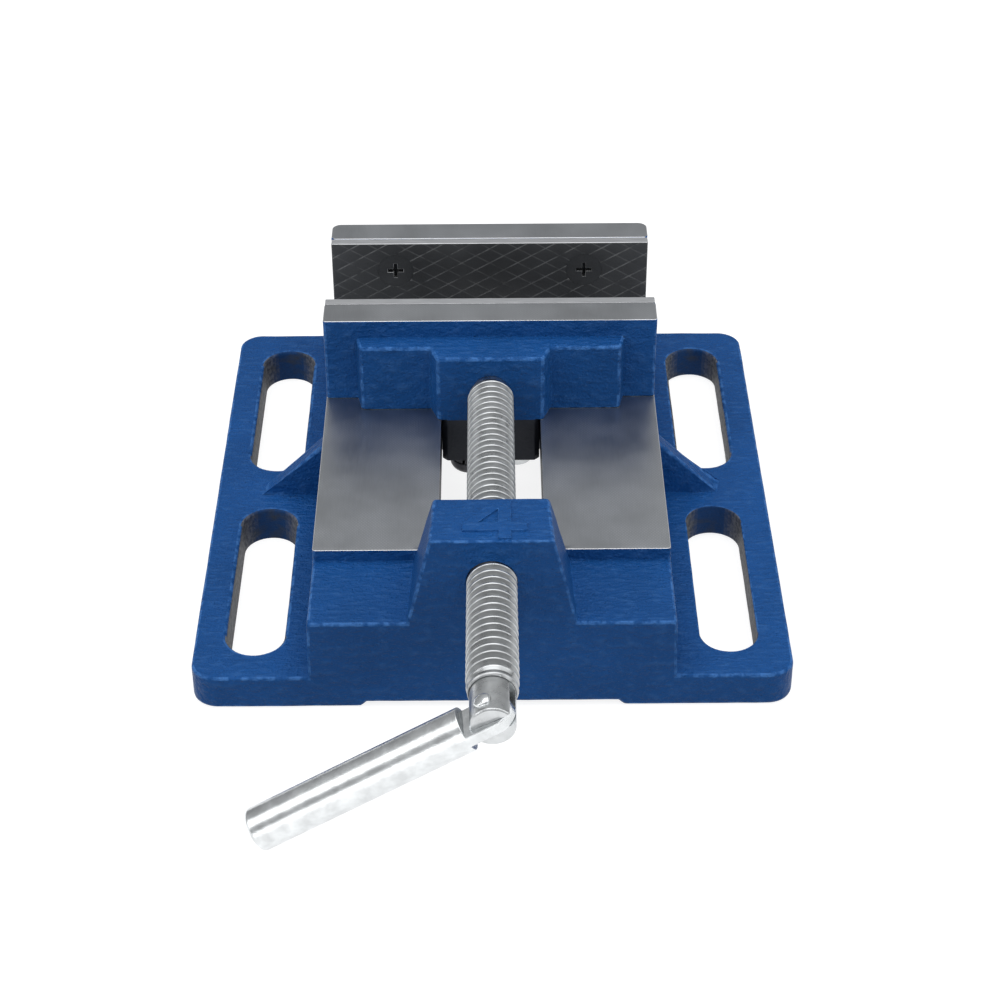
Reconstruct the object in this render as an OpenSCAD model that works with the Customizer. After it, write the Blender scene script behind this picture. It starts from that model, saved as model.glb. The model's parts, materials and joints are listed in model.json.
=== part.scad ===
// Drill-press vise with 4-inch jaws.
// Origin: centre of the base's footprint, on the face that rests on the machine table.
// +Z is up, -Y is the handle end, and the jaws open and close along Y.

/* [Base] */
// Width across the flange
base_w = 170; // [160:1:185]
// Length from the front face to the back edge
base_l = 182; // [178:1:190]
// Thickness of the flange
flange_t = 11; // [9:0.5:13]
// Corner radius of the flange
corner_r = 7.4; // [3:0.2:10]
// Height of the ways above the table
way_h = 34; // [33:0.5:36]
// Width across the two ways
way_w = 102; // [101:0.5:104]
// Width of the gap between the ways
gap_w = 30.5; // [30:0.5:32]
// Thickness of the ways
way_t = 15; // [13:0.5:16]
// Height of the low ledge at each end
ledge_h = 30.2; // [29:0.2:31]

/* [Bolt slots] */
// Width of a slot
slot_w = 16.3; // [12:0.1:17]
// Length of a slot, end to end
slot_l = 69.3; // [50:0.1:72]
// Distance between the left and the right slots
slot_pitch_x = 135.2; // [134:0.2:140]
// Distance between the front and the back slots
slot_pitch_y = 90.7; // [88:0.1:92]

/* [Jaws] */
// Width of the jaw plates
jaw_w = 101.6; // [95:0.1:102]
// Height of the jaws above the table
jaw_top = 61.8; // [60:0.2:64]
// Height of a jaw plate
plate_h = 22; // [20:0.5:23]
// Thickness of a jaw plate
plate_t = 3.3; // [3:0.1:3.5]
// Distance between the jaw faces as shown
opening = 34; // [33.95:0.05:34.5]
// Distance between the two screws of a jaw plate
plate_screw_pitch = 60.8; // [50:0.2:64]

/* [Screw and handle] */
// Height of the screw's axis above the table
screw_z = 44.5; // [44:0.1:45]
// Outside diameter of the screw thread
screw_d = 14; // [13:0.1:14.4]
// Threads to the inch
threads_per_inch = 9; // [8:1:10]
// Diameter of the handle and of the screw's plain end
handle_d = 12; // [11:0.1:12.4]
// Length of the handle from its pin
handle_l = 69.9; // [60:0.1:74]
// Slope of the plane in which the handle folds
handle_tilt = 28; // [20:1:33]
// Swing of the handle from square to the screw, towards the user
handle_swing = 5.4; // [0:0.1:10]
// Diameter of the handle's pin
pin_d = 3.2; // [2.6:0.1:3.6]

/* [Hidden] */

// Colours
paint_blue = [0.09, 0.26, 0.50];
ground_steel = [0.50, 0.51, 0.53];
black_steel = [0.16, 0.16, 0.17];
zinc = [0.74, 0.76, 0.78];

// Fits
hair = 0.03;          // between a screw and its hole
running = 0.05;       // between a turning or sliding piece and its seat
way_fit = 0.1;        // between the movable jaw and the ways
eps = 1;              // how far a cutter runs past a face

// Base, along Y
front = -base_l / 2;
back = base_l / 2;
way_front = front + 28.5;
boss_top_back = front + 19.7;
fixed_face = 63.6;
fixed_seat = fixed_face + plate_t;
fixed_back = 76.6;
gap_front = way_front - 1;
gap_back = fixed_face + 0.4;
hollow_front = front + 19;
hollow_back = 70;
hollow_w = 86;
block_draft = 0.029;
foot_relief_w = 74;
foot_relief_h = 1.6;

// Nut boss
boss_h = 58.2;
boss_top_w = 34.2;
boss_side_slope = 0.234;
boss_plan_taper = 3;
boss_root_z = 20;
numeral_t = 0.7;

// Gussets and buttresses
gusset_t = 6;
gusset_tip = 70;
gusset_top = 29.7;
buttress_t = 15;
buttress_top = 54;

// Movable jaw, along Y
moving_face = fixed_face - opening;
moving_seat = moving_face - plate_t;
moving_front = moving_seat - 10.2;
pad_front = moving_front - 6.4;
nut_front = moving_front - 12.7;
relief_top = 56.2;
jaw_bottom = way_h + way_fit;
tongue_w = gap_w - 0.5;
tongue_back = moving_face - 1;
way_under = way_h - way_t;
tongue_bottom = way_under - way_fit;
lip_depth = plate_t - 0.3;

// Jaw plates and their screws
plate_z = jaw_top - plate_h;
plate_screw_z = 51.8;
plate_screw_head_d = 11.6;
plate_screw_d = 6;
plate_screw_l = 12;
head_cone_t = (plate_screw_head_d - plate_screw_d) / 2;

// Keeper plate and its fasteners
keeper_w = 54;
keeper_l = 17.6;
keeper_t = 5;
keeper_front = tongue_back - 12;
keeper_bolt_x = 8;
keeper_bolt_y = keeper_front + 6;
keeper_top = tongue_bottom;
keeper_under = keeper_top - keeper_t;
m6 = 6;
m6_flats = 10;
m6_head = 4;
washer_d = 12;
washer_t = 1.2;
spring_washer_d = 10.4;
spring_washer_t = 1.6;
keeper_head_z = keeper_under - washer_t - spring_washer_t;
keeper_bolt_l = 20;

// Lead screw, along Y
pitch = 25.4 / threads_per_inch;
thread_depth = 1.25;
thread_start = nut_front - 1.9;
thread_length = 139;
thread_end = thread_start - thread_length;
nose_d = 11;
nose_l = 19;
nose_end = thread_start + nose_l;
retainer_x = -6.5;
retainer_y = nut_front + 6.1;
retainer_l = 30;
retainer_head_d = 12.5;
retainer_head_t = 4;
neck_r = -retainer_x - m6 / 2 - 0.1;
neck_w = m6 + 0.3;
fork_back = thread_end - 0.1;
fork_w = 3.3;
pin_y = thread_end - 8.4;
fork_end = pin_y - 4.35;

// Handle, in its own frame: pin along Z, bar along X
handle_r = handle_d / 2;
tongue_r = handle_r + 0.2;
tongue_x = 0.4;
tongue_t = fork_w - 2 * running;
shoulder = 7.5;
pin_head_d = 4.8;
pin_head_t = 0.9;
pin_dome = 0.9;

function block_half(z) = way_w / 2 + (way_h - z) * block_draft;

// ---------- helpers ----------

// Extrudes an X-Z outline from y0 to y1
module along_y(y0, y1) {
    translate([0, y1, 0]) rotate([90, 0, 0]) linear_extrude(y1 - y0) children();
}

// Extrudes a Y-Z outline from x0 to x1
module along_x(x0, x1) {
    translate([x0, 0, 0]) rotate([90, 0, 90]) linear_extrude(x1 - x0) children();
}

// Turns a [radius, y] outline about the Y axis
module turned_y() {
    rotate([-90, 0, 0]) rotate_extrude($fn = 96) children();
}

// A straight hole along Y
module hole_y(d, y0, y1) {
    translate([0, y0, 0]) rotate([-90, 0, 0]) cylinder(d = d, h = y1 - y0, $fn = 64);
}

// A block given by its lowest and highest corners
module block(low, high) {
    translate(low) cube(high - low);
}

// Puts the pin's axis along Z and the bar's axis along +X
module at_pin() {
    translate([0, pin_y, screw_z]) rotate([0, 180 - handle_tilt, 0]) mirror([0, 0, 1]) children();
}

// ---------- base ----------

module flange_outline() {
    square([base_w - 2 * corner_r, base_l], center = true);
    square([base_w, base_l - 2 * corner_r], center = true);
    for (x = [-1, 1], y = [-1, 1])
        translate([x * (base_w / 2 - corner_r), y * (base_l / 2 - corner_r)])
            circle(corner_r, $fn = 64);
}

module slot_outline() {
    square([slot_w, slot_l - slot_w], center = true);
    for (y = [-1, 1]) translate([0, y * (slot_l - slot_w) / 2]) circle(d = slot_w, $fn = 64);
}

module block_outline(top) {
    polygon([[-block_half(eps), eps], [block_half(eps), eps], [block_half(top), top],
             [-block_half(top), top]]);
}

module boss_outline() {
    half_root = boss_top_w / 2 + (boss_h - boss_root_z) * boss_side_slope;
    polygon([[-half_root, boss_root_z], [half_root, boss_root_z],
             [boss_top_w / 2, boss_h], [-boss_top_w / 2, boss_h]]);
}

module nut_boss() {
    intersection() {
        along_x(-way_w / 2, way_w / 2)
            polygon([[front, boss_root_z], [front, boss_h], [boss_top_back, boss_h],
                     [way_front, way_h], [way_front, boss_root_z]]);
        translate([0, front, 0]) rotate([0, 0, boss_plan_taper])
            along_y(-5, 40) boss_outline();
        translate([0, front, 0]) rotate([0, 0, -boss_plan_taper])
            along_y(-5, 40) boss_outline();
    }
}

// The size in inches, raised on top of the boss
module numeral() {
    stem_left = 1.8;
    stem_right = 5.4;
    bar_low = 4.4;
    bar_high = 8.2;
    top = 18.6;
    translate([0, front, boss_h - 0.5]) linear_extrude(numeral_t + 0.5)
        difference() {
            polygon([[stem_left, 0.9], [stem_right, 0.9], [stem_right, bar_low], [9.8, bar_low],
                     [9.8, bar_high], [stem_right, bar_high], [stem_right, top],
                     [stem_left - 0.8, top], [-8, bar_high - 0.4], [-8, bar_low],
                     [stem_left, bar_low]]);
            polygon([[stem_left, bar_high], [-3.6, bar_high], [stem_left, 14.2]]);
        }
}

module fixed_jaw_outline() {
    r = 3;
    polygon([[-way_w / 2, fixed_seat], [way_w / 2, fixed_seat], [way_w / 2, fixed_back - r],
             [-way_w / 2, fixed_back - r]]);
    polygon([[r - way_w / 2, fixed_seat], [way_w / 2 - r, fixed_seat],
             [way_w / 2 - r, fixed_back], [r - way_w / 2, fixed_back]]);
    for (x = [-1, 1]) translate([x * (way_w / 2 - r), fixed_back - r]) circle(r, $fn = 48);
}

module buttress(x) {
    along_x(x - buttress_t / 2, x + buttress_t / 2)
        polygon([[fixed_back - 2, flange_t], [fixed_back - 2, buttress_top],
                 [fixed_back + 2, buttress_top], [back - 2, ledge_h - 6], [back - 2, flange_t]]);
}

module gusset(side) {
    along_y(-gusset_t / 2, gusset_t / 2)
        polygon([[side * (block_half(0) - 3), flange_t - eps], [side * gusset_tip, flange_t - eps],
                 [side * gusset_tip, flange_t], [side * block_half(gusset_top), gusset_top],
                 [side * (block_half(0) - 3), gusset_top]]);
}

module base_casting() {
    color(paint_blue) difference() {
        union() {
            linear_extrude(flange_t) flange_outline();
            along_y(front, back) block_outline(ledge_h);
            along_y(way_front, fixed_back) block_outline(way_h);
            nut_boss();
            numeral();
            translate([0, 0, way_h - eps]) linear_extrude(jaw_top - way_h + eps)
                fixed_jaw_outline();
            block([-way_w / 2, fixed_seat - lip_depth, way_h - eps],
                  [way_w / 2, fixed_seat + eps, plate_z - 0.2]);
            for (x = [-plate_screw_pitch / 2, 0, plate_screw_pitch / 2]) buttress(x);
            for (side = [-1, 1]) gusset(side);
        }
        for (x = [-1, 1], y = [-1, 1])
            translate([x * slot_pitch_x / 2, y * slot_pitch_y / 2, -eps])
                linear_extrude(flange_t + 2 * eps) slot_outline();
        block([-gap_w / 2, gap_front, way_under - eps], [gap_w / 2, gap_back, way_h + eps]);
        block([-hollow_w / 2, hollow_front, -eps], [hollow_w / 2, hollow_back, way_under]);
        along_y(front - eps, hollow_front + eps)
            polygon([[-foot_relief_w / 2 - 1, -eps], [foot_relief_w / 2 + 1, -eps],
                     [foot_relief_w / 2 - 1.6, foot_relief_h],
                     [1.6 - foot_relief_w / 2, foot_relief_h]]);
        translate([0, 0, screw_z]) hole_y(screw_d + 2 * running, front - eps, way_front + eps);
        for (x = [-1, 1]) translate([x * plate_screw_pitch / 2, 0, plate_screw_z])
            hole_y(plate_screw_d + 2 * hair, fixed_seat - eps, fixed_face + plate_screw_l + 0.5);
    }
}

// ---------- jaw plates and their screws ----------

// A plate whose face is at y = 0 and whose back is towards +Y
module jaw_plate() {
    difference() {
        block([-jaw_w / 2, 0, plate_z], [jaw_w / 2, plate_t, jaw_top]);
        for (x = [-1, 1]) translate([x * plate_screw_pitch / 2, 0, plate_screw_z]) {
            hole_y(plate_screw_d + 2 * hair, -eps, plate_t + eps);
            turned_y() polygon([[0, -eps], [plate_screw_head_d / 2 + hair, -eps],
                                [plate_screw_head_d / 2 + hair, 0.25],
                                [plate_screw_d / 2 + hair, head_cone_t + 0.25],
                                [0, head_cone_t + 0.25]]);
        }
    }
}

// A countersunk screw with a cross recess, its head just below y = 0
module plate_screw(x) {
    translate([x * plate_screw_pitch / 2, 0, plate_screw_z]) difference() {
        turned_y() polygon([[0, 0.15], [plate_screw_head_d / 2, 0.15],
                            [plate_screw_head_d / 2, 0.25],
                            [plate_screw_d / 2, head_cone_t + 0.25],
                            [plate_screw_d / 2, plate_screw_l - 0.8],
                            [plate_screw_d / 2 - 0.8, plate_screw_l], [0, plate_screw_l]]);
        along_y(-eps, 2.3) square([5, 1.1], center = true);
        along_y(-eps, 2.3) square([1.1, 5], center = true);
    }
}

module on_fixed_jaw() {
    translate([0, fixed_face, 0]) children();
}

module on_movable_jaw() {
    translate([0, moving_face, 0]) mirror([0, 1, 0]) children();
}

module fixed_jaw_plate() {
    color(black_steel) on_fixed_jaw() jaw_plate();
}

module fixed_jaw_screw_left() {
    color(black_steel) on_fixed_jaw() plate_screw(-1);
}

module fixed_jaw_screw_right() {
    color(black_steel) on_fixed_jaw() plate_screw(1);
}

module movable_jaw_plate() {
    color(black_steel) on_movable_jaw() jaw_plate();
}

module movable_jaw_screw_left() {
    color(black_steel) on_movable_jaw() plate_screw(-1);
}

module movable_jaw_screw_right() {
    color(black_steel) on_movable_jaw() plate_screw(1);
}

// ---------- movable jaw ----------

module relief_outline() {
    half = [[16.2, nut_front], [18.4, pad_front], [39.8, pad_front], [41.2, moving_front],
            [41.2, moving_seat - 1]];
    polygon(concat(half, [for (i = [len(half) - 1:-1:0]) [-half[i][0], half[i][1]]]));
}

module tongue_outline() {
    half = [[tongue_w / 2 - 1.5, nut_front], [tongue_w / 2, nut_front + 1.5],
            [tongue_w / 2, tongue_back]];
    polygon(concat(half, [for (i = [len(half) - 1:-1:0]) [-half[i][0], half[i][1]]]));
}

module movable_jaw() {
    color(paint_blue) difference() {
        union() {
            block([-way_w / 2, moving_front, jaw_bottom], [way_w / 2, moving_seat, jaw_top]);
            block([-way_w / 2, moving_seat - eps, jaw_bottom],
                  [way_w / 2, moving_seat + lip_depth, plate_z - 0.2]);
            translate([0, 0, jaw_bottom]) linear_extrude(relief_top - jaw_bottom)
                relief_outline();
            translate([0, 0, tongue_bottom]) linear_extrude(jaw_bottom - tongue_bottom + eps)
                tongue_outline();
        }
        translate([0, 0, screw_z])
            hole_y(nose_d + 2 * running, nut_front - eps, nose_end + running);
        for (x = [-1, 1]) translate([x * plate_screw_pitch / 2, 0, plate_screw_z])
            hole_y(plate_screw_d + 2 * hair, moving_face - plate_screw_l - 0.5,
                   moving_seat + eps);
        translate([retainer_x, retainer_y, tongue_bottom - eps])
            cylinder(d = m6 + 2 * hair, h = retainer_l + eps, $fn = 64);
        for (side = [-1, 1])
            translate([side * keeper_bolt_x, keeper_bolt_y, tongue_bottom - eps])
                cylinder(d = m6 + 2 * hair, h = keeper_bolt_l - 6.5 + eps, $fn = 64);
    }
}

// ---------- keeper under the ways ----------

module keeper_plate() {
    color(ground_steel) difference() {
        block([-keeper_w / 2, keeper_front, keeper_under],
              [keeper_w / 2, keeper_front + keeper_l, keeper_top]);
        for (side = [-1, 1])
            translate([side * keeper_bolt_x, keeper_bolt_y, keeper_under - eps])
                cylinder(d = m6 + 0.6, h = keeper_t + 2 * eps, $fn = 64);
    }
}

// A washer with its upper face at z = 0; split makes it a spring washer
module washer(outer, thick, split) {
    difference() {
        translate([0, 0, -thick]) cylinder(d = outer, h = thick, $fn = 64);
        translate([0, 0, -thick - eps]) cylinder(d = m6 + 0.2, h = thick + 2 * eps, $fn = 64);
        if (split) rotate([0, 0, 250]) block([0, -0.4, -thick - eps], [outer, 0.4, eps]);
    }
}

// A hexagon bolt with its seat at z = 0, pointing up
module hex_bolt(length) {
    translate([0, 0, -m6_head])
        intersection() {
            cylinder(d = m6_flats / cos(30), h = m6_head, $fn = 6);
            rotate_extrude($fn = 64)
                polygon([[0, 0], [m6_flats / 2 - 0.2, 0], [m6_flats / cos(30) / 2 + 0.2, 0.9],
                         [m6_flats / cos(30) / 2 + 0.2, m6_head], [0, m6_head]]);
        }
    bolt_shank(length);
}

module bolt_shank(length) {
    translate([0, 0, -eps]) rotate_extrude($fn = 64)
        polygon([[0, 0], [m6 / 2, 0], [m6 / 2, length + eps - 0.8],
                 [m6 / 2 - 0.8, length + eps], [0, length + eps]]);
}

module at_keeper_bolt(side, z) {
    translate([side * keeper_bolt_x, keeper_bolt_y, z]) children();
}

module keeper_bolt_left() {
    color(zinc) at_keeper_bolt(-1, keeper_head_z) hex_bolt(keeper_bolt_l);
}

module keeper_bolt_right() {
    color(zinc) at_keeper_bolt(1, keeper_head_z) hex_bolt(keeper_bolt_l);
}

module keeper_washer_left() {
    color(zinc) at_keeper_bolt(-1, keeper_under) washer(washer_d, washer_t, false);
}

module keeper_washer_right() {
    color(zinc) at_keeper_bolt(1, keeper_under) washer(washer_d, washer_t, false);
}

module keeper_spring_washer_left() {
    color(black_steel) at_keeper_bolt(-1, keeper_under - washer_t)
        washer(spring_washer_d, spring_washer_t, true);
}

module keeper_spring_washer_right() {
    color(black_steel) at_keeper_bolt(1, keeper_under - washer_t)
        washer(spring_washer_d, spring_washer_t, true);
}

// The bolt whose shank runs in the screw's neck and keeps the screw in the jaw
module retaining_bolt() {
    r = retainer_head_d / 2;
    color(black_steel)
        translate([retainer_x, retainer_y, tongue_bottom - spring_washer_t]) {
            translate([0, 0, -retainer_head_t]) rotate_extrude($fn = 64)
                polygon([[0, 0], [r - 1.8, 0], [r - 0.6, 0.6], [r, 1.8], [r, retainer_head_t],
                         [0, retainer_head_t]]);
            bolt_shank(retainer_l);
        }
}

module retaining_spring_washer() {
    color(black_steel) translate([retainer_x, retainer_y, tongue_bottom])
        washer(washer_d, spring_washer_t, true);
}

// ---------- lead screw, pin and handle ----------

// Round grooves at the thread's pitch, so the screw turns true in the boss at any angle
module thread_profile() {
    r = screw_d / 2;
    root = r - thread_depth;
    turns = floor(thread_length / pitch) - 1;
    flank = pitch * 0.38;
    ring = pitch / 2 - flank;
    polygon(concat(
        [[0, nose_end], [nose_d / 2 - 1, nose_end], [nose_d / 2, nose_end - 1],
         [nose_d / 2, retainer_y + neck_w / 2], [neck_r, retainer_y + neck_w / 2],
         [neck_r, retainer_y - neck_w / 2], [nose_d / 2, retainer_y - neck_w / 2],
         [nose_d / 2, thread_start], [r, thread_start - 1.6]],
        [for (i = [0:turns - 1]) let (y = thread_start - 2 - i * pitch)
            each [[r, y], [root, y - flank], [root, y - flank - ring], [r, y - 2 * flank - ring]]],
        [[r, thread_end + 1], [handle_r, thread_end], [handle_r, fork_end + 0.5],
         [handle_r - 0.5, fork_end], [0, fork_end]]));
}

// The plain end is slotted to a fork for the handle's tongue
module lead_screw() {
    color(zinc) difference() {
        translate([0, 0, screw_z]) turned_y() thread_profile();
        at_pin() {
            block([-10, -5, -fork_w / 2], [10, fork_back - pin_y, fork_w / 2]);
            translate([0, 0, -10]) cylinder(d = pin_d + 2 * hair, h = 20, $fn = 64);
            for (side = [0, 1]) mirror([0, 0, side])
                translate([0, 0, handle_r - pin_head_t])
                    cylinder(d = pin_head_d + 2 * running, h = 5, $fn = 64);
        }
    }
}

// Riveted over at both ends, and held tight by the fork
module handle_pin() {
    seat = handle_r - pin_head_t + hair;
    head = pin_head_d / 2;
    top = handle_r + pin_dome;
    color(zinc) at_pin() rotate_extrude($fn = 64)
        polygon([[0, -top], [head * 0.55, -top + 0.12], [head * 0.88, -top + 0.45],
                 [head, -top + 0.9], [head, -seat], [pin_d / 2, -seat],
                 [pin_d / 2, seat], [head, seat], [head, top - 0.9],
                 [head * 0.88, top - 0.45], [head * 0.55, top - 0.12], [0, top]]);
}

// A bar with two flats milled on its end, which leave the tongue
module handle() {
    color(zinc) at_pin() rotate([0, 0, -handle_swing]) difference() {
        intersection() {
            rotate([0, 90, 0]) translate([0, 0, -handle_r]) rotate_extrude($fn = 96)
                polygon([[0, 0], [handle_r, 0], [handle_r, handle_l + handle_r - 1.2],
                         [handle_r - 0.4, handle_l + handle_r - 0.3],
                         [handle_r - 1.2, handle_l + handle_r], [0, handle_l + handle_r]]);
            union() {
                translate([tongue_x, 0, -10]) cylinder(r = tongue_r, h = 20, $fn = 96);
                block([tongue_x, -10, -10], [handle_l + 10, 10, 10]);
            }
        }
        block([-10, -10, tongue_t / 2], [shoulder, 10, 10]);
        block([-10, -10, -10], [shoulder, 10, -tongue_t / 2]);
        translate([0, 0, -10]) cylinder(d = pin_d + 2 * running, h = 20, $fn = 64);
    }
}

base_casting();
fixed_jaw_plate();
fixed_jaw_screw_left();
fixed_jaw_screw_right();
movable_jaw();
movable_jaw_plate();
movable_jaw_screw_left();
movable_jaw_screw_right();
keeper_plate();
keeper_bolt_left();
keeper_bolt_right();
keeper_washer_left();
keeper_washer_right();
keeper_spring_washer_left();
keeper_spring_washer_right();
retaining_bolt();
retaining_spring_washer();
lead_screw();
handle_pin();
handle();
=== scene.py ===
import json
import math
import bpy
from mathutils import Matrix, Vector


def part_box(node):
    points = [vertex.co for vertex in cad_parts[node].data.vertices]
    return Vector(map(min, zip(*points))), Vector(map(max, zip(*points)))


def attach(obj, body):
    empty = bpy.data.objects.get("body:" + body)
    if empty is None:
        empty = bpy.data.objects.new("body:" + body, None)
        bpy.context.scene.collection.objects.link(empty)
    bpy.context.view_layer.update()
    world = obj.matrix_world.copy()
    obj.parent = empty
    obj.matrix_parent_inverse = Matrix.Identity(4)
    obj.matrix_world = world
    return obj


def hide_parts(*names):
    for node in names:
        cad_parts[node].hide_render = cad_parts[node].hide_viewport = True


bl_info = {
    "name": "Drill-press vise",
    "version": (1, 0, 0),
    "blender": (4, 5, 0),
    "location": "View3D > Sidebar > Vise",
    "description": "Finishes a 4-inch drill-press vise: castings, jaw plates, screw, handle",
    "category": "Object",
}

import bmesh
import bpy
from bpy.props import FloatProperty, FloatVectorProperty, IntProperty, PointerProperty
from mathutils import Vector, noise

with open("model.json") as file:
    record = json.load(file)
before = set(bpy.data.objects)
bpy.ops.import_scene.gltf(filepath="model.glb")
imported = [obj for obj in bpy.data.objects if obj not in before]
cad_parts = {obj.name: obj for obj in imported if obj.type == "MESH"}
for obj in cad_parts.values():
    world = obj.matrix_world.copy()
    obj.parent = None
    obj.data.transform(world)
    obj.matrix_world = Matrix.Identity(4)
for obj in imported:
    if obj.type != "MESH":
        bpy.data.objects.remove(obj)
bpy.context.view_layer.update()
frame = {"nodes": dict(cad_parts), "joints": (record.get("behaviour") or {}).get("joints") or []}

MM = 0.001
INCH = 25.4 * MM
WELD = 0.002 * MM
FLAT = math.radians(0.4)

fixed_low, fixed_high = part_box("fixed_jaw_plate")
moving_low, moving_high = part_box("movable_jaw_plate")
base_low, base_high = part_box("base_casting")
jaw_low, jaw_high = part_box("movable_jaw")
JAW_TOP = fixed_high.z
joints = {joint["name"]: joint for joint in frame["joints"]}
SCREW_Z = joints["screw_turn"]["pos_m"][2]
PIN = Vector(joints["handle_fold"]["pos_m"])
THREAD_FRONT = PIN.y + 8.4 * MM
THREAD_BACK = jaw_low.y - 1.9 * MM

# places on the castings that no node's box gives
BOSS_TOP = 58.2 * MM
BOSS_BACK = -64 * MM
GAP_HALF = 15.6 * MM
BLOCK_HALF = 51 * MM
FLANGE_TOP = 11 * MM
SLOT_REACH = 85 * MM

# which finish of a casting a face takes
PAINTED, GROUND, OILED_AND_SHADED, SLOT_WALL = range(4)


# ---------- settings ----------


class ViseSizes(bpy.types.PropertyGroup):
    way_height: FloatProperty(
        name="Way height", description="Height of the ground ways", default=34 * MM, unit="LENGTH"
    )
    cast_edge: FloatProperty(
        name="Cast edge", description="Radius of a cast edge", default=1.2 * MM, unit="LENGTH"
    )
    ground_edge: FloatProperty(
        name="Ground edge", description="Radius of a ground edge", default=0.25 * MM, unit="LENGTH"
    )
    cast_wave: FloatProperty(
        name="Cast waviness",
        description="How far a cast face wanders",
        default=0.22 * MM,
        unit="LENGTH",
    )
    thread_radius: FloatProperty(
        name="Thread radius",
        description="Crest radius of the lead screw",
        default=7 * MM,
        unit="LENGTH",
    )
    thread_depth: FloatProperty(
        name="Thread depth",
        description="Depth of the screw's thread",
        default=1.25 * MM,
        unit="LENGTH",
    )
    threads_per_inch: IntProperty(
        name="Threads per inch", description="Threads of the lead screw to the inch", default=9
    )
    groove_width: FloatProperty(
        name="Groove width",
        description="Width of a jaw plate's grooves",
        default=0.42 * MM,
        unit="LENGTH",
    )
    groove_depth: FloatProperty(
        name="Groove depth",
        description="Depth of a jaw plate's grooves",
        default=0.16 * MM,
        unit="LENGTH",
    )
    groove_step: FloatProperty(
        name="Groove step",
        description="Distance between grooves along the jaw",
        default=9 * MM,
        unit="LENGTH",
    )
    groove_angle: FloatProperty(
        name="Groove angle",
        description="Slope of the grooves",
        default=math.radians(30),
        subtype="ANGLE",
    )


class ViseColours(bpy.types.PropertyGroup):
    enamel: FloatVectorProperty(
        name="Enamel", description="Blue paint", default=(0.0085, 0.068, 0.238), subtype="COLOR"
    )
    # lighter enamel for the drag streaks, and the painted highlight on rounded edges and fine
    # flecks
    enamel_streak_and_highlight: FloatVectorProperty(
        name="Light enamel and painted highlight",
        description="Lighter streaks, and painted highlight on edges and flecks",
        default=(0.045, 0.140, 0.36),
        subtype="COLOR",
    )
    iron: FloatVectorProperty(
        name="Ground iron",
        description="Ground ways and jaw tops",
        default=(0.42, 0.435, 0.455),
        subtype="COLOR",
    )
    black: FloatVectorProperty(
        name="Black oxide", description="Jaw plates", default=(0.060, 0.063, 0.067), subtype="COLOR"
    )
    zinc: FloatVectorProperty(
        name="Zinc",
        description="Plated screw and handle",
        default=(0.72, 0.74, 0.75),
        subtype="COLOR",
    )


class StageSettings(bpy.types.PropertyGroup):
    camera_place: FloatVectorProperty(
        name="Camera",
        description="Where the camera stands",
        default=(0.00023, -0.58938, 0.43203),
        unit="LENGTH",
    )
    camera_turn: FloatVectorProperty(
        name="Camera turn",
        description="The camera's rotation",
        default=(math.radians(54.324), math.radians(0.207), math.radians(-0.39)),
        subtype="EULER",
    )
    lens: FloatProperty(name="Lens", description="Focal length on a 36 mm sensor", default=83.81)
    floor_colour: FloatVectorProperty(
        name="Floor", description="Colour of the floor", default=(0.28, 0.28, 0.28), subtype="COLOR"
    )


# ---------- shader maths ----------


class Wire:
    """A shader socket that takes part in sums; each sum adds its Math node."""

    def __init__(self, finish, socket):
        self.finish = finish
        self.socket = socket

    def maths(self, operation, *values):
        return self.finish.node("ShaderNodeMath", {"operation": operation}, dict(enumerate(values)))

    def __add__(self, other):
        return self.maths("ADD", self, other)

    __radd__ = __add__

    def __mul__(self, other):
        return self.maths("MULTIPLY", self, other)

    __rmul__ = __mul__

    def __sub__(self, other):
        return self.maths("SUBTRACT", self, other)

    def __rsub__(self, other):
        return self.maths("SUBTRACT", other, self)

    def sharpen(self, low, high):
        """0 below low, 1 above high, and a straight ramp between."""
        return self.finish.node(
            "ShaderNodeMapRange", {"clamp": True}, {0: self, 1: low, 2: high, 3: 0.0, 4: 1.0}
        )


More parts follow.
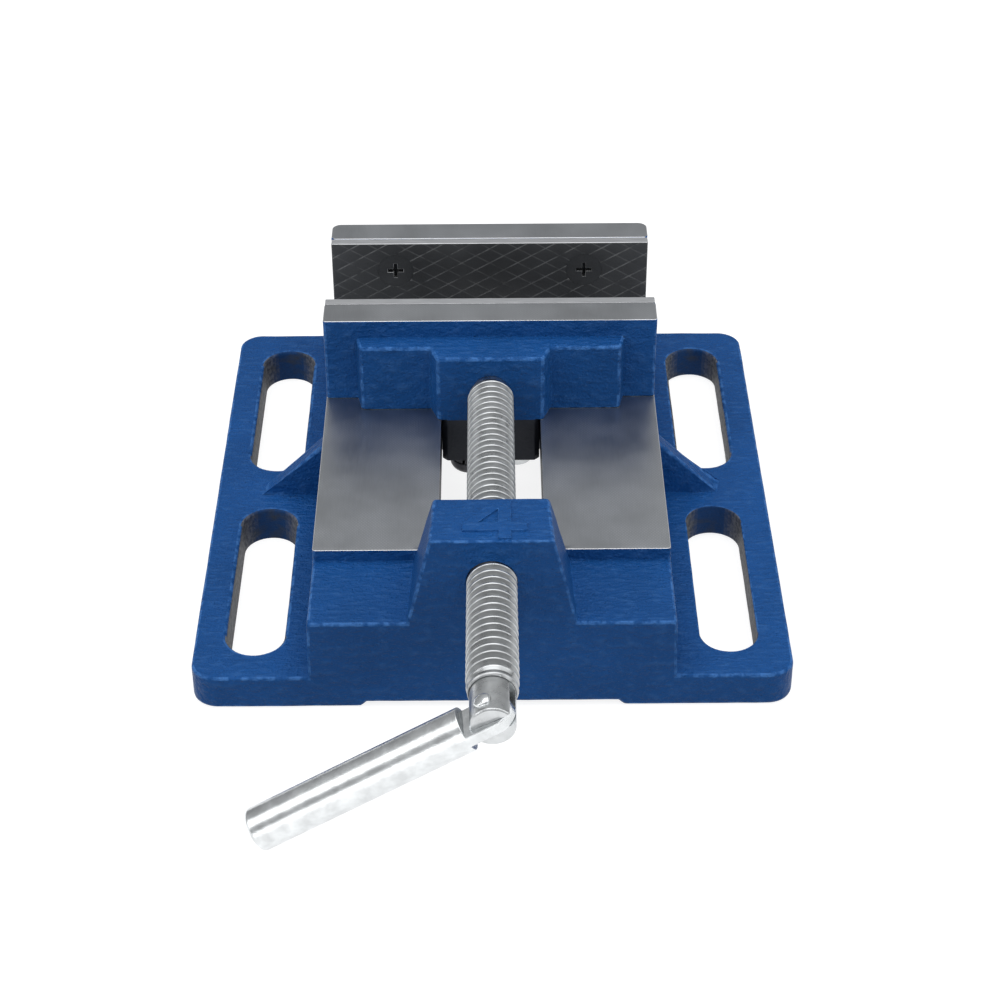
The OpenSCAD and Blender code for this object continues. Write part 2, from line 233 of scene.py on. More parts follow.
class Finish:
    """A material under construction."""

    def __init__(self, name):
        self.material = bpy.data.materials.new("finish_" + name)
        self.material.use_nodes = True
        self.tree = self.material.node_tree
        self.tree.nodes.clear()
        self.output = self.tree.nodes.new("ShaderNodeOutputMaterial")

    def node(self, kind, settings, values, out=0):
        """Adds a node: its settings first, then values or links on its sockets."""
        made = self.tree.nodes.new(kind)
        for key, value in settings.items():
            setattr(made, key, value)
        for key, value in values.items():
            socket = made.inputs[key]
            if isinstance(value, Wire):
                self.tree.links.new(value.socket, socket)
            else:
                socket.default_value = value
        return Wire(self, made.outputs[out])

    def place(self, scale=(1, 1, 1), turn=(0, 0, 0)):
        """The piece's own coordinates, scaled and turned."""
        where = self.node("ShaderNodeTexCoord", {}, {}, "Object")
        return self.node(
            "ShaderNodeMapping", {}, {"Vector": where, "Rotation": turn, "Scale": scale}
        )

    def noise(self, scale, detail=2.0, stretch=(1, 1, 1)):
        return self.node(
            "ShaderNodeTexNoise",
            {},
            {"Vector": self.place(stretch), "Scale": scale, "Detail": detail},
        )

    def cells(self, scale):
        return self.node("ShaderNodeTexVoronoi", {}, {"Vector": self.place(), "Scale": scale})

    def stripes(self, scale, slope):
        """Straight bands whose lines lean by slope in plan."""
        return self.node(
            "ShaderNodeTexWave",
            {"bands_direction": "X"},
            {"Vector": self.place(turn=(0, 0, slope)), "Scale": scale},
            "Fac",
        )

    def mark(self, name):
        """A mark that the modelling left on the mesh."""
        return self.node("ShaderNodeAttribute", {"attribute_name": name}, {}, "Fac")

    def blend(self, share, first, second):
        return self.node(
            "ShaderNodeMix", {"data_type": "RGBA"}, {0: share, 6: first, 7: second}, 2
        )

    def relief(self, height, distance, strength=1.0):
        return self.node(
            "ShaderNodeBump", {}, {"Height": height, "Distance": distance, "Strength": strength}
        )

    def surface(self, **sockets):
        """The Principled shader; names are its sockets with _ for a space."""
        values = {key.replace("_", " "): value for key, value in sockets.items()}
        shader = self.node("ShaderNodeBsdfPrincipled", {}, values)
        self.tree.links.new(shader.socket, self.output.inputs["Surface"])
        return self.material


def rgba(colour, gain=1.0):
    return (*(channel * gain for channel in colour), 1.0)


# ---------- finishes ----------


def colours():
    return bpy.context.scene.vise_colours


def blue_enamel():
    """Thick blue enamel over a sand casting, with a fine drag across the flats, a painted highlight
    on the rounded edges and painted glints in fine flecks.
    """
    f = Finish("blue_enamel")
    tone = colours()
    clouds = f.noise(38, 3.0)
    drag = f.noise(330, 3.0, stretch=(0.75, 2.3, 1.3))
    sand = f.noise(1100, 3.0)
    pits = f.cells(700).sharpen(0.0, 0.22)
    # painted highlight: the rounded edges, broken by noise, are painted lighter
    edge = f.mark("edge") * f.noise(420, 3.0).sharpen(0.42, 0.6)
    colour = f.blend(clouds.sharpen(0.3, 0.75), rgba(tone.enamel, 0.86), rgba(tone.enamel, 1.12))
    colour = f.blend(drag.sharpen(0.52, 0.74) * 0.34, colour, rgba(tone.enamel_streak_and_highlight))
    # painted highlight: fine flecks of light enamel stand in for glints; the same noise also makes
    # the sand's bump
    colour = f.blend(sand.sharpen(0.6, 0.72) * 0.3, colour, rgba(tone.enamel_streak_and_highlight))
    # painted highlight on the rounded edges
    colour = f.blend(edge * 0.6, colour, rgba(tone.enamel_streak_and_highlight, 1.35))
    height = drag * 0.9 + sand * 0.45 + pits * 0.25 + clouds * 0.5
    return f.surface(
        Base_Color=colour,
        Roughness=drag * 0.2 + 0.3,
        Normal=f.relief(height, 0.0008, 1.0),
        Specular_IOR_Level=0.09,
    )


def ground_iron():
    """Surface-ground cast iron with a faint crossed lay from the cutter, and a painted highlight
    near white on its rounded edges.
    """
    f = Finish("ground_iron")
    tone = colours()
    lay = f.noise(900, 2.0, stretch=(6.0, 0.22, 1.0))
    lean = math.radians(38)
    patch = f.noise(70, 2.0)
    cross = f.stripes(400, lean) * f.stripes(400, -lean) * patch.sharpen(0.35, 0.6)
    shade = patch * 0.45 + lay * 0.25 + cross * 0.3
    colour = f.blend(shade.sharpen(0.2, 0.7), rgba(tone.iron, 0.8), rgba(tone.iron, 1.14))
    # painted highlight: the rounded edges are painted near white
    colour = f.blend(f.mark("edge") * 0.8, colour, (0.9, 0.9, 0.9, 1.0))
    return f.surface(
        Base_Color=colour,
        Metallic=1.0,
        Roughness=patch * 0.12 + lay * 0.1 + 0.24,
        Normal=f.relief(lay * 0.6 + cross * 0.8, 0.00005, 0.6),
    )


def slot_casting():
    """Thin paint on the ends of the slots, and bare speckled iron along their sides."""
    f = Finish("slot_casting")
    tone = colours()
    scuff = f.noise(160, 4.0, stretch=(1.0, 0.5, 1.6))
    speck = f.noise(800, 3.0)
    dull = f.blend(scuff.sharpen(0.5, 0.7), rgba(tone.enamel, 0.6), (0.028, 0.042, 0.072, 1.0))
    iron = f.blend(speck.sharpen(0.38, 0.62), (0.060, 0.066, 0.078, 1.0), (0.19, 0.19, 0.195, 1.0))
    colour = f.blend(f.mark("bare").sharpen(0.45, 1.0), dull, iron)
    grain = f.noise(1400, 2.0)
    return f.surface(
        Base_Color=colour,
        Roughness=0.55,
        Specular_IOR_Level=0.15,
        Normal=f.relief(grain + scuff, 0.0004, 0.8),
    )


def oiled_and_shaded_casting():
    """Bare cast iron, machined and oiled, painted near black for the shade under the ways and in
    the gap.
    """
    f = Finish("oiled_and_shaded_casting")
    film = f.noise(90, 4.0)
    grain = f.noise(1300, 2.0)
    # painted shade: oily iron taken near black where it sits in shade
    wet, dry = (0.013, 0.017, 0.026, 1.0), (0.028, 0.031, 0.040, 1.0)
    colour = f.blend(film.sharpen(0.35, 0.7), wet, dry)
    return f.surface(
        Base_Color=colour,
        Roughness=film * 0.2 + 0.42,
        Specular_IOR_Level=0.25,
        Normal=f.relief(grain + film, 0.0002, 0.5),
    )


def black_finish(name, glint_share, bright):
    """Black oxide on hardened steel, with a painted highlight lighter along its marked edges and
    grooves.
    """
    f = Finish(name)
    tone = colours()
    smoke = f.noise(60, 4.0)
    grain = f.noise(2200, 2.0)
    colour = f.blend(smoke.sharpen(0.3, 0.7), rgba(tone.black, 0.85), rgba(tone.black, 1.2))
    # painted highlight: marked edges, screw-head rims and grooves are painted lighter, broken by
    # noise
    glint = f.mark("edge") * f.noise(260, 3.0).sharpen(0.3, 0.6)
    colour = f.blend(glint * glint_share, colour, (bright, bright * 1.02, bright * 1.04, 1.0))
    return f.surface(
        Base_Color=colour,
        Metallic=0.35,
        Roughness=smoke * 0.15 + 0.38,
        Normal=f.relief(grain, 0.00005, 0.6),
    )


def black_oxide():
    return black_finish("black_oxide", 0.8, 0.25)


# painted highlight: a stronger, lighter ring on the screw heads' rims
def black_head():
    return black_finish("black_head", 1.0, 0.42)


def ground_plate():
    """The ground top edge of a jaw plate, brighter than the iron beside it."""
    f = Finish("ground_plate")
    lay = f.noise(700, 3.0, stretch=(0.25, 4.0, 1.0))
    colour = f.blend(lay.sharpen(0.3, 0.7), (0.60, 0.61, 0.63, 1.0), (0.74, 0.75, 0.77, 1.0))
    return f.surface(
        Base_Color=colour,
        Metallic=1.0,
        Roughness=lay * 0.2 + 0.25,
        Normal=f.relief(lay, 0.00004, 0.4),
    )


def zinc_plate(name, gain, spread, lines, root_shade=0.0):
    """Bright zinc on turned steel; the marks of turning lie along one way; the thread's groove can
    take painted shade.
    """
    f = Finish(name)
    tone = colours()
    bloom = f.noise(240, 4.0)
    turning = f.noise(900, 3.0, stretch=lines)
    dull, bright = rgba(tone.zinc, 0.86 * gain), rgba(tone.zinc, 1.12 * gain)
    colour = f.blend(bloom.sharpen(0.35, 0.7), dull, bright)
    if root_shade:
        # painted shade: the bottom of the thread's groove is painted dark
        colour = f.blend(f.mark("root") * root_shade, colour, (0.085, 0.09, 0.095, 1.0))
    return f.surface(
        Base_Color=colour,
        Metallic=1.0,
        Roughness=bloom * spread + turning * 0.1 + 0.14,
        Normal=f.relief(turning * 0.7 + bloom * 0.5, 0.00006, 0.6),
    )


def zinc_screw():
    return zinc_plate("zinc_screw", 0.84, 0.22, (0.3, 5.0, 0.3), root_shade=0.92)


def zinc_bar():
    return zinc_plate("zinc_bar", 1.03, 0.08, (0.25, 4.0, 4.0))


def zinc_bolt():
    return zinc_plate("zinc_bolt", 0.9, 0.2, (1.0, 1.0, 3.0))


def mill_steel():
    """Hot-rolled flat bar with its grey scale left on."""
    f = Finish("mill_steel")
    scale = f.noise(120, 5.0)
    grain = f.noise(1200, 2.0, stretch=(0.3, 1.0, 1.0))
    colour = f.blend(scale.sharpen(0.35, 0.65), (0.11, 0.11, 0.115, 1.0), (0.2, 0.2, 0.205, 1.0))
    return f.surface(
        Base_Color=colour,
        Metallic=0.8,
        Roughness=scale * 0.2 + 0.38,
        Normal=f.relief(grain + scale, 0.00008, 0.6),
    )


def oiled_steel():
    """Dark oiled spring steel."""
    f = Finish("oiled_steel")
    film = f.noise(300, 3.0)
    colour = f.blend(film.sharpen(0.35, 0.7), (0.03, 0.03, 0.033, 1.0), (0.07, 0.07, 0.075, 1.0))
    return f.surface(
        Base_Color=colour,
        Metallic=0.9,
        Roughness=film * 0.2 + 0.28,
        Normal=f.relief(film, 0.00006, 0.5),
    )


def shared(make):
    """A finish, made once and then found by its name; the CAD's own slots share some names."""
    return bpy.data.materials.get("finish_" + make.__name__) or make()


# ---------- modelling ----------


def copied(node):
    """A bmesh of a CAD node, welded, with its flat faces whole."""
    bm = bmesh.new()
    bm.from_mesh(frame["nodes"][node].data)
    bmesh.ops.remove_doubles(bm, verts=bm.verts, dist=WELD)
    bmesh.ops.dissolve_limit(
        bm, angle_limit=FLAT, verts=bm.verts, edges=bm.edges, use_dissolve_boundaries=False
    )
    bm.normal_update()
    return bm


def sharp_edges(bm, least=25):
    """Edges whose two faces meet at more than least degrees."""
    limit = math.radians(least)
    return [e for e in bm.edges if len(e.link_faces) == 2 and e.calc_face_angle(0.0) > limit]


def outer(edges):
    """Only the edges that stick out, so that rounding them never adds metal."""
    return [e for e in edges if e.is_convex]


def roomy(edge, least):
    """True if no edge at either end of this one is shorter than least."""
    return all(other.calc_length() > least for vert in edge.verts for other in vert.link_edges)


def runs(edges):
    """Splits edges into runs that share no corner, in a fixed order."""
    left = set(edges)
    found = []
    for first in edges:
        if first not in left:
            continue
        left.discard(first)
        run = [first]
        for edge in run:
            for vert in edge.verts:
                for other in vert.link_edges:
                    if other in left:
                        left.discard(other)
                        run.append(other)
        found.append(run)
    return found


def edge_mark(bm):
    """The layer that says which faces are rounded or cut, from 0 to 1."""
    return bm.faces.layers.float.get("edge") or bm.faces.layers.float.new("edge")


def soften(bm, edges, width, segments):
    """Rounds edges and marks the new faces; a tight spot narrows only its own run."""
    mark = edge_mark(bm)
    for run in runs(edges):
        made = bmesh.ops.bevel(
            bm,
            geom=run,
            offset=width,
            offset_type="OFFSET",
            affect="EDGES",
            segments=segments,
            profile=0.5,
            material=-1,
            clamp_overlap=True,
            loop_slide=True,
        )
        for face in made["faces"]:
            face[mark] = 1.0
    bm.normal_update()


def slice_up(bm, low, high, step):
    """Cuts a mesh into cells, so that its flat faces can wander a little."""
    # cuts stand this part of a step short of a whole one, so that none runs along an edge
    short = 0.37
    for axis in range(3):
        normal = Vector([float(i == axis) for i in range(3)])
        cuts = int((high[axis] - low[axis]) / step)
        for i in range(1, cuts + 1):
            geom = bm.faces[:] + bm.edges[:] + bm.verts[:]
            place = normal * (low[axis] + (i - short) * step)
            bmesh.ops.bisect_plane(bm, geom=geom, dist=WELD, plane_co=place, plane_no=normal)


def wander(bm, amount, keep):
    """Sinks each corner a little, as a sand mould leaves it, but not where it is ground or kept."""
    bm.normal_update()
    # waves to a metre, broad and fine, and where the fine ones start
    broad, fine, shift = 55, 210, Vector((3, 7, 1))
    moves = []
    for vert in bm.verts:
        if keep(vert) or any(face.material_index == GROUND for face in vert.link_faces):
            continue
        slow = noise.noise(vert.co * broad)
        quick = noise.noise(vert.co * fine + shift)
        sink = max(0.5 + 0.45 * slow + 0.35 * quick, 0)
        moves.append((vert, vert.normal * amount * sink))
    for vert, move in moves:
        vert.co -= move
    bm.normal_update()


def ground_rim(bm):
    """The outer edges between a ground face and any other."""
    return outer(
        e for e in sharp_edges(bm) if sum(f.material_index == GROUND for f in e.link_faces) == 1
    )


def from_axis(vert):
    """How far a corner is from the screw's axis."""
    return math.hypot(vert.co.x, vert.co.z - SCREW_Z)


def is_level(face, height):
    """True for an upward face at a height."""
    return face.normal.z > 0.999 and abs(face.calc_center_median().z - height) < 0.05 * MM


def piece(name, bm, finishes, body, slot, *nodes):
    """Turns a bmesh into a finished piece that rides on its body."""
    mesh = bpy.data.meshes.new(name)
    bm.to_mesh(mesh)
    bm.free()
    for finish in finishes:
        mesh.materials.append(shared(finish))
    mesh.polygons.foreach_set("use_smooth", [True] * len(mesh.polygons))
    mesh.set_sharp_from_angle(angle=math.radians(38))
    made = bpy.data.objects.new(name, mesh)
    bpy.context.scene.collection.objects.link(made)
    weighted = made.modifiers.new("Even shading", "WEIGHTED_NORMAL")
    weighted.keep_sharp = True
    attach(made, body)
    if nodes:
        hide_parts(*nodes)
    return made


def small_part(node, width, finish, body, slot, segments=2, least=0.0):
    """A CAD node with a finish and its edges broken, except by edges shorter than least."""
    bm = copied(node)
    soften(bm, [e for e in outer(sharp_edges(bm)) if roomy(e, least)], width, segments)
    return piece(node + "_piece", bm, [finish], body, slot, node)


class VisePiece(bpy.types.Operator):
    """A step that makes one piece or group of pieces"""

    bl_options = {"REGISTER", "UNDO"}

    @property
    def sizes(self):
        return bpy.context.scene.vise_sizes


class VISE_OT_base(VisePiece):
    """Make the base casting with its ground ways"""

    bl_idname = "vise.base"
    bl_label = "Base casting"

    # a rounding needs this much room beside it
    cast_room = 0.7 * MM
    tight_room = 0.4 * MM
    tight_edge = 0.15 * MM
    cell = 4.6 * MM
    # so near to the screw's axis, edges stay crisp and faces stay true
    crisp_radius = 9 * MM
    true_radius = 8 * MM

    def execute(self, context):
        sizes = self.sizes
        bm = copied("base_casting")
        self.choose_finishes(bm)
        soften(bm, self.cast_edges(bm), sizes.cast_edge, 3)
        soften(bm, self.tight_edges(bm), self.tight_edge, 2)
        soften(bm, ground_rim(bm), sizes.ground_edge, 2)
        slice_up(bm, base_low, base_high, self.cell)
        wander(bm, sizes.cast_wave, self.is_fitted)
        piece(
            "base_casting_painted",
            bm,
            [blue_enamel, ground_iron, oiled_and_shaded_casting, slot_casting],
            "base",
            "blue_paint",
            "base_casting",
        )
        return {"FINISHED"}

    def choose_finishes(self, bm):
        """Sorts the faces into ground, oiled iron painted dark for shade, and slot walls; the
        slots' sides are the barest.
        """
        way_height = self.sizes.way_height
        slot_x = (base_high.x + BLOCK_HALF) / 2
        bare = bm.faces.layers.float.new("bare")
        for face in bm.faces:
            middle = face.calc_center_median()
            if is_level(face, way_height) or is_level(face, JAW_TOP):
                face.material_index = GROUND
            in_slot = abs(abs(middle.x) - slot_x) < 9 * MM and abs(middle.y) < SLOT_REACH
            if abs(face.normal.z) < 0.01 and middle.z < FLANGE_TOP + MM and in_slot:
                face.material_index = SLOT_WALL
                face[bare] = abs(face.normal.x)
            # the gap's side walls take the oiled finish, painted near black for the shade between
            # the ways
            sideways = abs(face.normal.x) > 0.9 and middle.z < way_height
            if sideways and abs(middle.x) < GAP_HALF + MM and middle.y > BOSS_BACK:
                face.material_index = OILED_AND_SHADED

    def cast_edges(self, bm):
        """The edges that the mould rounds; the screw's bore, the gap and the numeral stay crisp."""
        return [
            e
            for e in sharp_edges(bm)
            if (e.is_convex or self.clear_of_jaw(e))
            and not any(
                f.material_index in (GROUND, OILED_AND_SHADED) or self.is_numeral(f) for f in e.link_faces
            )
            and all(from_axis(v) > self.crisp_radius for v in e.verts)
            and roomy(e, self.cast_room)
        ]

    def tight_edges(self, bm):
        """The outer edges that are still crisp, apart from the ground ones."""
        mark = edge_mark(bm)
        return outer(
            e
            for e in sharp_edges(bm)
            if not any(f.material_index == GROUND or f[mark] > 0 for f in e.link_faces)
            and roomy(e, self.tight_room)
        )

    def is_numeral(self, face):
        middle = face.calc_center_median()
        return middle.z > BOSS_TOP + 0.1 * MM and middle.y < BOSS_BACK

    def is_fitted(self, vert):
        """True where another piece fits closely: the bore, the feet, the gap and the jaw's face."""
        way_height = self.sizes.way_height
        x, y, z = vert.co
        margin = 0.1 * MM
        in_gap = abs(x) < GAP_HALF and z < way_height and y > BOSS_BACK
        on_jaw = fixed_low.y - margin < y < fixed_high.y + margin and z > way_height
        return from_axis(vert) < self.true_radius or z < margin or in_gap or on_jaw

    def clear_of_jaw(self, edge):
        """True for an inside corner that the jaw and the keeper never come near."""
        beside, beyond = 52 * MM, 74 * MM
        return all(abs(v.co.x) > beside or abs(v.co.y) > beyond for v in edge.verts)


class VISE_OT_jaw(VisePiece):
    """Make the movable jaw's casting"""

    bl_idname = "vise.jaw"
    bl_label = "Movable jaw"

    # a rounding needs this much room beside it
    cast_room = 0.9 * MM
    cell = 4.2 * MM
    # so near to the screw's axis, faces stay true
    true_radius = 7.5 * MM

    def execute(self, context):
        sizes = self.sizes
        bm = copied("movable_jaw")
        for face in bm.faces:
            if is_level(face, JAW_TOP) or face.normal.z < -0.999:
                face.material_index = GROUND
        self.oil_and_shade_tongue(bm)
        cast = [
            e
            for e in sharp_edges(bm)
            if all(f.material_index == PAINTED for f in e.link_faces)
            and all(v.co.z > sizes.way_height - MM for v in e.verts)
            and roomy(e, self.cast_room)
        ]
        soften(bm, outer(cast), sizes.cast_edge * 0.8, 3)
        crisp = [
            e for e in sharp_edges(bm) if any(f.material_index != PAINTED for f in e.link_faces)
        ]
        soften(bm, outer(crisp), sizes.ground_edge, 2)
        slice_up(bm, jaw_low, jaw_high, self.cell)
        bmesh.ops.bisect_plane(
            bm,
            geom=bm.faces[:] + bm.edges[:] + bm.verts[:],
            dist=WELD,
            plane_co=(0, 0, sizes.way_height),
            plane_no=(0, 0, 1),
        )
        self.oil_and_shade_tongue(bm)
        wander(bm, sizes.cast_wave * 0.7, self.is_fitted)
        piece(
            "movable_jaw_painted",
            bm,
            [blue_enamel, ground_iron, oiled_and_shaded_casting],
            "movable_jaw_body",
            "blue_paint",
            "movable_jaw",
        )
        return {"FINISHED"}

    def oil_and_shade_tongue(self, bm):
        """Takes the paint off the tongue that runs between the ways, and paints it near black for
        the shade under them.
        """
        for face in bm.faces:
            below = face.calc_center_median().z < self.sizes.way_height
            if below and face.material_index == PAINTED:
                face.material_index = OILED_AND_SHADED

    def is_fitted(self, vert):
        """True where another piece fits closely: the bore, the ways and the jaw plate."""
        margin = 0.3 * MM
        return (
            from_axis(vert) < self.true_radius
            or vert.co.z < self.sizes.way_height + margin
            or vert.co.y > moving_low.y - margin
        )


class VISE_OT_jaw_plates(VisePiece):
    """Make the two grooved jaw plates"""

    bl_idname = "vise.jaw_plates"
    bl_label = "Jaw plates"

    # the grooves that fall to the right are cut shallower, and get a fainter painted highlight
    faint = 0.4
    # how far each family of grooves is shifted, in steps, so that they don't cross on the middle
    stagger = 0.27

    def execute(self, context):
        self.plate("fixed_jaw_plate", fixed_low.y, "base")
        self.plate("movable_jaw_plate", moving_high.y, "movable_jaw_body")
        return {"FINISHED"}

    def plate(self, node, face_y, body):
        bm = copied(node)
        for face in bm.faces:
            if is_level(face, JAW_TOP):
                face.material_index = GROUND
        self.groove(bm, face_y)
        edges = [e for e in sharp_edges(bm, 60) if all(self.by_rim(v, MM) for v in e.verts)]
        soften(bm, outer(edges), self.sizes.ground_edge, 2)
        piece(node + "_grooved", bm, [black_oxide, ground_plate], body, "black_oxide", node)

    def by_rim(self, vert, margin):
        """True if a corner is within a margin of the plate's outline; both plates are alike."""
        x, y, z = vert.co
        return (
            abs(x) > fixed_high.x - margin or z > JAW_TOP - margin or z < fixed_low.z + margin
        )

    def groove(self, bm, face_y):
        """Cuts the crossed grooves: three cuts to a groove, then its middle is pushed in."""
        sizes = self.sizes
        inward = 1 if face_y == fixed_low.y else -1
        centre = Vector((0, face_y, (fixed_low.z + fixed_high.z) / 2))
        half_height = (fixed_high.z - fixed_low.z) / 2
        reach = fixed_high.x + half_height / math.tan(sizes.groove_angle)
        count = int(reach / sizes.groove_step)
        middles = []
        for side in (-1, 1):
            along = Vector((math.cos(sizes.groove_angle), 0, side * math.sin(sizes.groove_angle)))
            across = along.cross(Vector((0, 1, 0)))
            for i in range(-count, count + 1):
                point = centre + Vector(((i + self.stagger * side) * sizes.groove_step, 0, 0))
                middles.append((point, across, side))
                for shift in (-0.5, 0, 0.5):
                    self.cut(bm, face_y, point + across * shift * sizes.groove_width, across)
        mark = edge_mark(bm)
        for vert in bm.verts:
            if abs(vert.co.y - face_y) > WELD or self.by_rim(vert, 0.6 * MM):
                continue
            sides = [
                side
                for point, across, side in middles
                if abs((vert.co - point).dot(across)) < WELD
            ]
            if sides:
                depth_and_glint = 1.0 if max(sides) > 0 else self.faint
                vert.co.y += inward * sizes.groove_depth * depth_and_glint
                # the groove's faces take the black finish's painted highlight
                for face in vert.link_faces:
                    face[mark] = max(face[mark], depth_and_glint)

    def cut(self, bm, face_y, point, across):
        """Cuts the gripping face alone along one line."""
        faces = [f for f in bm.faces if all(abs(v.co.y - face_y) < WELD for v in f.verts)]
        edges = list(dict.fromkeys(e for f in faces for e in f.edges))
        verts = list(dict.fromkeys(v for f in faces for v in f.verts))
        bmesh.ops.bisect_plane(
            bm, geom=faces + edges + verts, dist=WELD, plane_co=point, plane_no=across
        )


class VISE_OT_lead_screw(VisePiece):
    """Make the lead screw with its helical thread"""

    bl_idname = "vise.lead_screw"
    bl_label = "Lead screw"

    turn_steps = 48
    # along the pitch, and up the thread
    tooth = (
        (-0.5, 0),
        (-0.4, 0),
        (-0.13, 0.84),
        (-0.06, 1),
        (0.06, 1),
        (0.13, 0.84),
        (0.4, 0),
        (0.5, 0),
    )

    def execute(self, context):
        screw = self.thread()
        for place, facing in ((THREAD_FRONT, -1), (THREAD_BACK, 1)):
            plain = copied("lead_screw")
            self.trim(plain, place, facing)
            free = [e for e in sharp_edges(plain, 40) if not self.is_at(e, place)]
            soften(plain, outer(free), 0.12 * MM, 2)
            spare = bpy.data.meshes.new("plain end")
            plain.to_mesh(spare)
            plain.free()
            screw.from_mesh(spare)
            bpy.data.meshes.remove(spare)
        piece("lead_screw_threaded", screw, [zinc_screw], "screw", "zinc_screw", "lead_screw")
        return {"FINISHED"}

    def trim(self, bm, place, facing):
        """Cuts a bar square at a place, keeps the side it faces and closes the cut."""
        bmesh.ops.bisect_plane(
            bm,
            geom=bm.faces[:] + bm.edges[:] + bm.verts[:],
            dist=WELD,
            plane_co=(0, place, 0),
            plane_no=(0, facing, 0),
            clear_inner=True,
        )
        rim = [e for e in bm.edges if e.is_boundary and self.is_at(e, place)]
        bmesh.ops.edgeloop_fill(bm, edges=rim)

    def is_at(self, edge, place):
        """True if an edge lies square across the screw at a place."""
        return all(abs(v.co.y - place) < 2 * WELD for v in edge.verts)

    def thread(self):
        sizes = self.sizes
        pitch = INCH / sizes.threads_per_inch
        root = sizes.thread_radius - sizes.thread_depth
        start = THREAD_FRONT - 1.5 * pitch
        turns = math.ceil((THREAD_BACK - start) / pitch) + 1
        bm = bmesh.new()
        row = [
            bm.verts.new((root + sizes.thread_depth * up, start + pitch * along, SCREW_Z))
            for along, up in self.tooth
        ]
        edges = [bm.edges.new(pair) for pair in zip(row, row[1:])]
        bmesh.ops.spin(
            bm,
            geom=row + edges,
            cent=(0, 0, SCREW_Z),
            axis=(0, 1, 0),
            dvec=(0, pitch / self.turn_steps, 0),
            angle=2 * math.pi * turns,
            steps=self.turn_steps * turns,
        )
        bmesh.ops.remove_doubles(bm, verts=bm.verts, dist=0.01 * MM)
        self.trim(bm, THREAD_FRONT, 1)
        self.trim(bm, THREAD_BACK, -1)
        for vert in bm.verts:
            self.run_out(vert, pitch)
        bmesh.ops.recalc_face_normals(bm, faces=bm.faces)
        self.mark_root_shade(bm, root)
        return bm

    def run_out(self, vert, pitch):
        """Fades the groove out by the fork, and chamfers both ends."""
        radius = from_axis(vert)
        if radius < MM:
            return
        filled = self.sizes.thread_radius - 0.25 * MM
        front_radius, back_radius = 6.2 * MM, 5.6 * MM
        from_front = vert.co.y - THREAD_FRONT
        fade = min(max((1.7 * pitch - from_front) / (1.2 * pitch), 0), 1)
        wanted = radius + (filled - radius) * fade * 0.8
        wanted = min(wanted, front_radius + from_front, back_radius + (THREAD_BACK - vert.co.y))
        vert.co.x *= wanted / radius
        vert.co.z = SCREW_Z + (vert.co.z - SCREW_Z) * wanted / radius

    def mark_root_shade(self, bm, root):
        """Marks the bottom of the groove, where the screw's finish paints shade."""
        mark = bm.faces.layers.float.new("root")
        for face in bm.faces:
            middle = face.calc_center_median()
            up = math.hypot(middle.x, middle.z - SCREW_Z) - root
            face[mark] = min(max(1 - up / self.sizes.thread_depth, 0), 1)


class VISE_OT_handle(VisePiece):
    """Make the handle and its pin"""

    bl_idname = "vise.handle"
    bl_label = "Handle"

    def execute(self, context):
        small_part("handle", 0.3 * MM, zinc_bar, "handle_body", "zinc_handle", 3)
        small_part("handle_pin", 0.15 * MM, zinc_bar, "screw", "zinc_screw")
        return {"FINISHED"}


class VISE_OT_fasteners(VisePiece):
    """Make the plate screws, the keeper and its bolts and washers"""

    bl_idname = "vise.fasteners"
    bl_label = "Keeper and fasteners"

    def execute(self, context):
        moving = "movable_jaw_body"
        for side in ("left", "right"):
            for jaw, body in (("fixed", "base"), ("movable", moving)):
                node = f"{jaw}_jaw_screw_{side}"
                small_part(node, 0.15 * MM, black_head, body, "black_screws", least=0.4 * MM)
            small_part(f"keeper_bolt_{side}", 0.15 * MM, zinc_bolt, moving, "zinc_fasteners")
            small_part(f"keeper_washer_{side}", 0.1 * MM, zinc_bolt, moving, "zinc_fasteners")
            node = f"keeper_spring_washer_{side}"
            small_part(node, 0.1 * MM, oiled_steel, moving, "spring_steel")
        small_part("retaining_bolt", 0.3 * MM, oiled_steel, moving, "spring_steel")
        small_part("retaining_spring_washer", 0.1 * MM, oiled_steel, moving, "spring_steel")
        small_part("keeper_plate", 0.4 * MM, mill_steel, moving, "plain_steel")
        return {"FINISHED"}


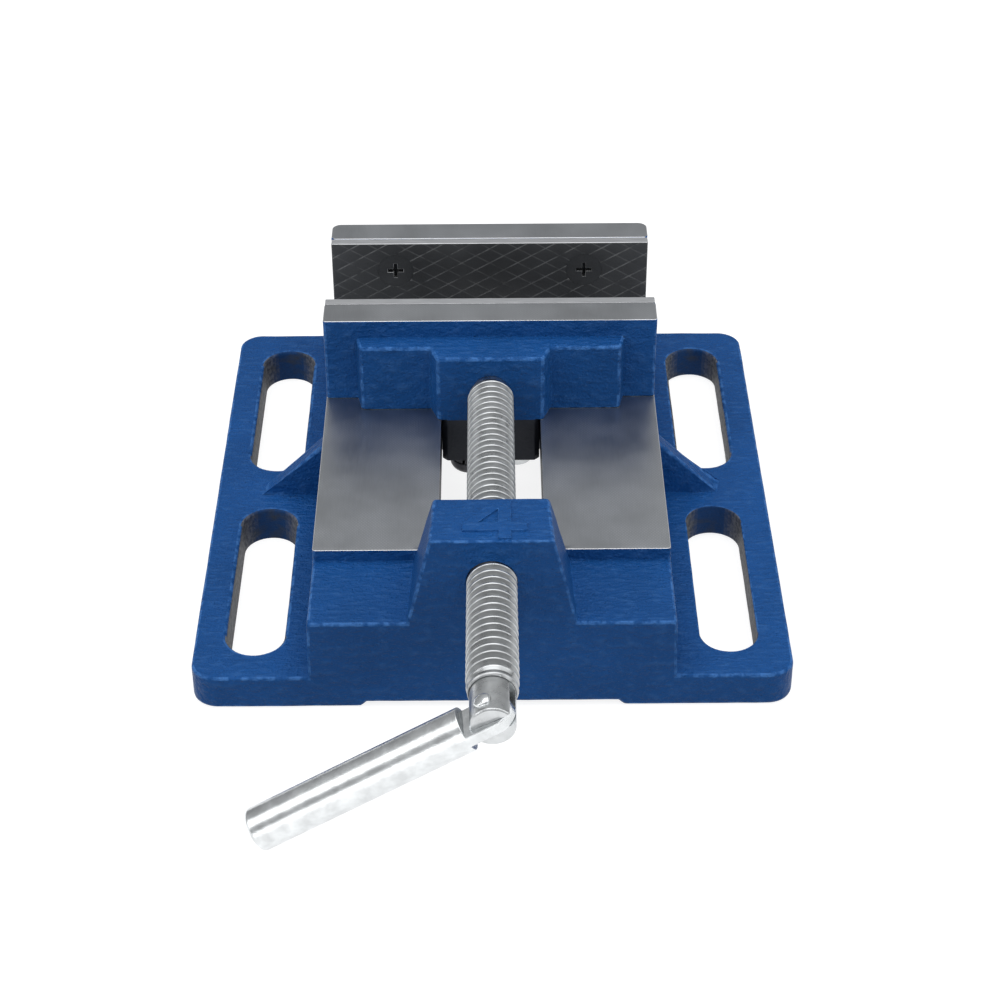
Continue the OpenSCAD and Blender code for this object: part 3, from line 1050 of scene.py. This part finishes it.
class VISE_OT_stage(bpy.types.Operator):
    """Make the floor, the lights and the camera"""

    bl_idname = "vise.stage"
    bl_label = "Stage"

    def execute(self, context):
        stage = context.scene.vise_stage
        self.floor(stage)
        self.lights()
        self.world()
        self.camera(stage)
        return {"FINISHED"}

    def floor(self, stage):
        bm = bmesh.new()
        bmesh.ops.create_grid(bm, x_segments=1, y_segments=1, size=4)
        mesh = bpy.data.meshes.new("floor")
        bm.to_mesh(mesh)
        bm.free()
        f = Finish("floor_card")
        grain = f.noise(6, 2.0)
        tone = stage.floor_colour
        mesh.materials.append(
            f.surface(
                Base_Color=f.blend(grain, rgba(tone, 0.99), rgba(tone)),
                Roughness=0.9,
                Emission_Color=(1.0, 1.0, 1.0, 1.0),
                Emission_Strength=0.85,
            )
        )
        floor = bpy.data.objects.new("floor", mesh)
        floor.location.z = base_low.z - 0.05 * MM
        floor.visible_diffuse = False
        bpy.context.scene.collection.objects.link(floor)

    def lights(self):
        panels = (
            ("overhead", (0.0, -0.1, 1.5), (1.8, 1.6), 15.0),
            ("left", (-1.4, -0.5, 0.9), (1.0, 1.2), 6.0),
            ("right", (1.4, -0.4, 0.9), (1.0, 1.2), 5.0),
            ("front", (0.0, -1.5, 0.25), (1.6, 0.5), 4.5),
        )
        for name, place, size, power in panels:
            data = bpy.data.lights.new(name, "AREA")
            data.shape = "RECTANGLE"
            data.size, data.size_y = size
            data.energy = power
            lamp = bpy.data.objects.new(name, data)
            lamp.location = place
            aim = Vector((0, 0, 0.02)) - Vector(place)
            lamp.rotation_euler = aim.to_track_quat("-Z", "Y").to_euler()
            bpy.context.scene.collection.objects.link(lamp)

    def world(self):
        world = bpy.data.worlds.new("studio")
        world.use_nodes = True
        bpy.context.scene.world = world
        nodes, links = world.node_tree.nodes, world.node_tree.links
        nodes.clear()
        where = nodes.new("ShaderNodeTexCoord")
        split = nodes.new("ShaderNodeSeparateXYZ")
        ramp = nodes.new("ShaderNodeValToRGB")
        ramp.color_ramp.elements[0].position = 0.0
        ramp.color_ramp.elements[0].color = (0.42, 0.43, 0.44, 1.0)
        ramp.color_ramp.elements[1].position = 0.75
        ramp.color_ramp.elements[1].color = (0.95, 0.96, 0.97, 1.0)
        shade = nodes.new("ShaderNodeBackground")
        shade.inputs["Strength"].default_value = 0.55
        out = nodes.new("ShaderNodeOutputWorld")
        links.new(where.outputs["Generated"], split.inputs["Vector"])
        links.new(split.outputs["Z"], ramp.inputs["Fac"])
        links.new(ramp.outputs["Color"], shade.inputs["Color"])
        links.new(shade.outputs["Background"], out.inputs["Surface"])

    def camera(self, stage):
        data = bpy.data.cameras.new("camera")
        data.sensor_width = 36.0
        data.lens = stage.lens
        data.clip_start = 0.01
        data.clip_end = 50.0
        camera = bpy.data.objects.new("camera", data)
        camera.location = stage.camera_place
        camera.rotation_euler = stage.camera_turn
        bpy.context.scene.collection.objects.link(camera)
        bpy.context.scene.camera = camera
        bpy.context.scene.view_settings.view_transform = "Standard"


class VISE_PT_panel(bpy.types.Panel):
    """Lists the steps in the sidebar"""

    bl_label = "Vise"
    bl_idname = "VISE_PT_panel"
    bl_space_type = "VIEW_3D"
    bl_region_type = "UI"
    bl_category = "Vise"

    def draw(self, context):
        scene = context.scene
        for group in (scene.vise_sizes, scene.vise_colours, scene.vise_stage):
            box = self.layout.box()
            for name in group.__annotations__:
                box.prop(group, name)
        for step in STEPS:
            self.layout.operator(step.bl_idname)


STEPS = (
    VISE_OT_stage,
    VISE_OT_base,
    VISE_OT_jaw,
    VISE_OT_jaw_plates,
    VISE_OT_lead_screw,
    VISE_OT_handle,
    VISE_OT_fasteners,
)
GROUPS = (
    ("vise_sizes", ViseSizes),
    ("vise_colours", ViseColours),
    ("vise_stage", StageSettings),
)


def register():
    for name, group in GROUPS:
        bpy.utils.register_class(group)
        setattr(bpy.types.Scene, name, PointerProperty(type=group))
    for cls in (*STEPS, VISE_PT_panel):
        bpy.utils.register_class(cls)


def unregister():
    for cls in (VISE_PT_panel, *reversed(STEPS)):
        bpy.utils.unregister_class(cls)
    for name, group in reversed(GROUPS):
        delattr(bpy.types.Scene, name)
        bpy.utils.unregister_class(group)


def main():
    register()
    for step in STEPS:
        group, name = step.bl_idname.split(".")
        getattr(getattr(bpy.ops, group), name)()


if __name__ == "__main__":
    main()
